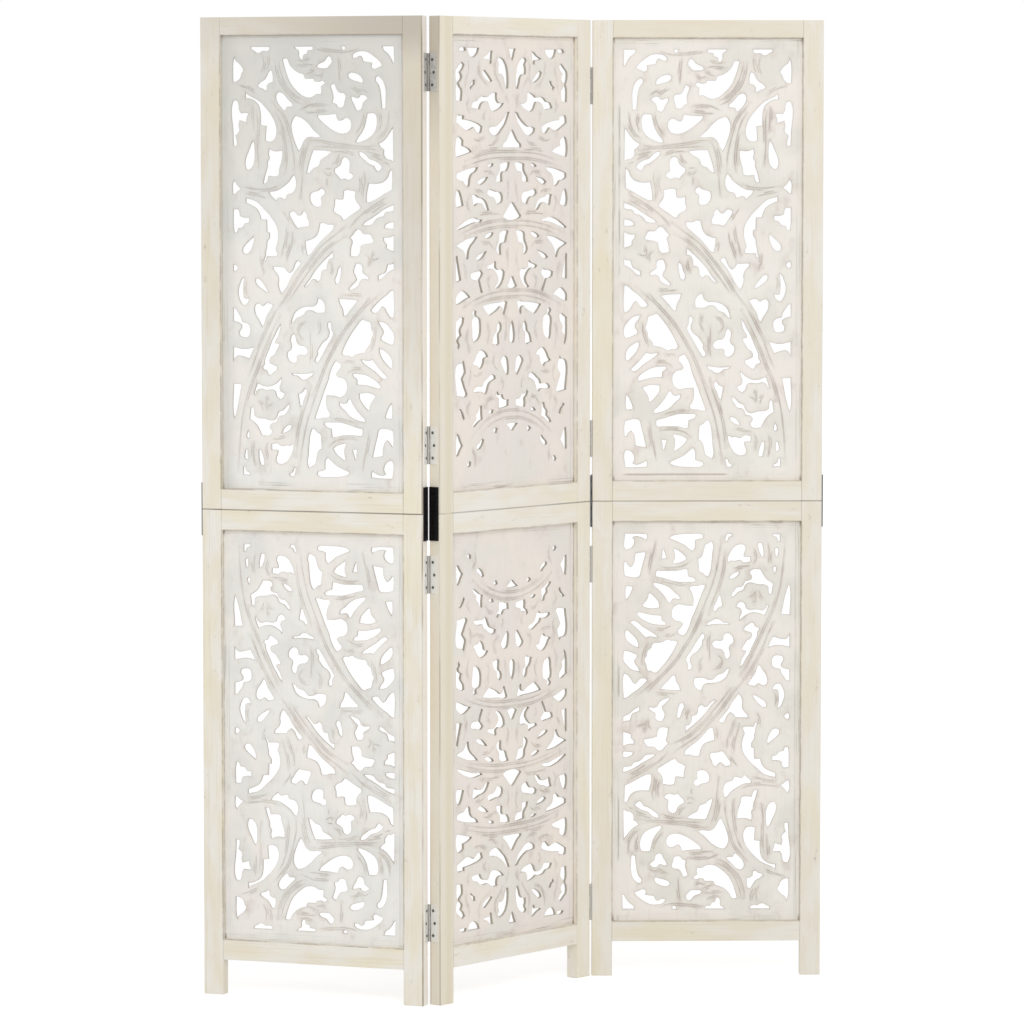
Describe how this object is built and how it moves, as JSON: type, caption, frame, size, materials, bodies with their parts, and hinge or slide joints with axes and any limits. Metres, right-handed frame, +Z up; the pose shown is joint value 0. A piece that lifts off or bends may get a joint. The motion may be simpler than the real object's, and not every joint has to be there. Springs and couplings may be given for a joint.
{
  "type": "folding room divider",
  "caption": "Tall folding screen of whitewashed wooden frames with pierced floral boards, hinged edge to edge so that it stands in a zigzag.",
  "frame": {"origin": "on the floor, in the middle of the standing screen's outline", "axes": "+Z up, +Y away from the carved front, +X to the right seen from the front"},
  "size_m": [1.0595, 0.3447, 1.65],
  "materials": {
    "frame_wood": "whitewashed, brushed on",
    "carving_wood": "whitewashed and rubbed back",
    "hinge_steel": "zinc plated",
    "plate_black": "black lacquer"
  },
  "bodies": {
    "left_panel": {"left_upper_left_stile": "frame_wood", "left_upper_right_stile": "frame_wood", "left_upper_top_rail": "frame_wood", "left_upper_bottom_rail": "frame_wood", "left_upper_carving": "carving_wood", "left_lower_left_stile": "frame_wood", "left_lower_right_stile": "frame_wood", "left_lower_top_rail": "frame_wood", "left_lower_bottom_rail": "frame_wood", "left_lower_carving": "carving_wood", "left_left_plate": "plate_black", "left_right_plate": "plate_black", "left_fold_upper_left_leaves": "hinge_steel", "left_fold_lower_left_leaves": "hinge_steel"},
    "centre_panel": {"centre_upper_left_stile": "frame_wood", "centre_upper_right_stile": "frame_wood", "centre_upper_top_rail": "frame_wood", "centre_upper_bottom_rail": "frame_wood", "centre_upper_carving": "carving_wood", "centre_lower_left_stile": "frame_wood", "centre_lower_right_stile": "frame_wood", "centre_lower_top_rail": "frame_wood", "centre_lower_bottom_rail": "frame_wood", "centre_lower_carving": "carving_wood", "centre_left_plate": "plate_black", "centre_right_plate": "plate_black", "left_fold_upper_centre_leaves": "hinge_steel", "left_fold_lower_centre_leaves": "hinge_steel", "right_fold_upper_centre_leaves": "hinge_steel", "right_fold_lower_centre_leaves": "hinge_steel"},
    "right_panel": {"right_upper_left_stile": "frame_wood", "right_upper_right_stile": "frame_wood", "right_upper_top_rail": "frame_wood", "right_upper_bottom_rail": "frame_wood", "right_upper_carving": "carving_wood", "right_lower_left_stile": "frame_wood", "right_lower_right_stile": "frame_wood", "right_lower_top_rail": "frame_wood", "right_lower_bottom_rail": "frame_wood", "right_lower_carving": "carving_wood", "right_left_plate": "plate_black", "right_right_plate": "plate_black", "right_fold_upper_right_leaves": "hinge_steel", "right_fold_lower_right_leaves": "hinge_steel"}
  },
  "joints": [
    {"name": "left_fold", "type": "hinge", "parent": "centre_panel", "child": "left_panel", "pos_m": [-0.14487, -0.15175, 0.825], "axis": [0, 0, 1], "range_deg": [-111, 69]},
    {"name": "right_fold", "type": "hinge", "parent": "centre_panel", "child": "right_panel", "pos_m": [0.13037, 0.1394, 0.825], "axis": [0, 0, 1], "range_deg": [-131.6, 48.4]}
  ]
}
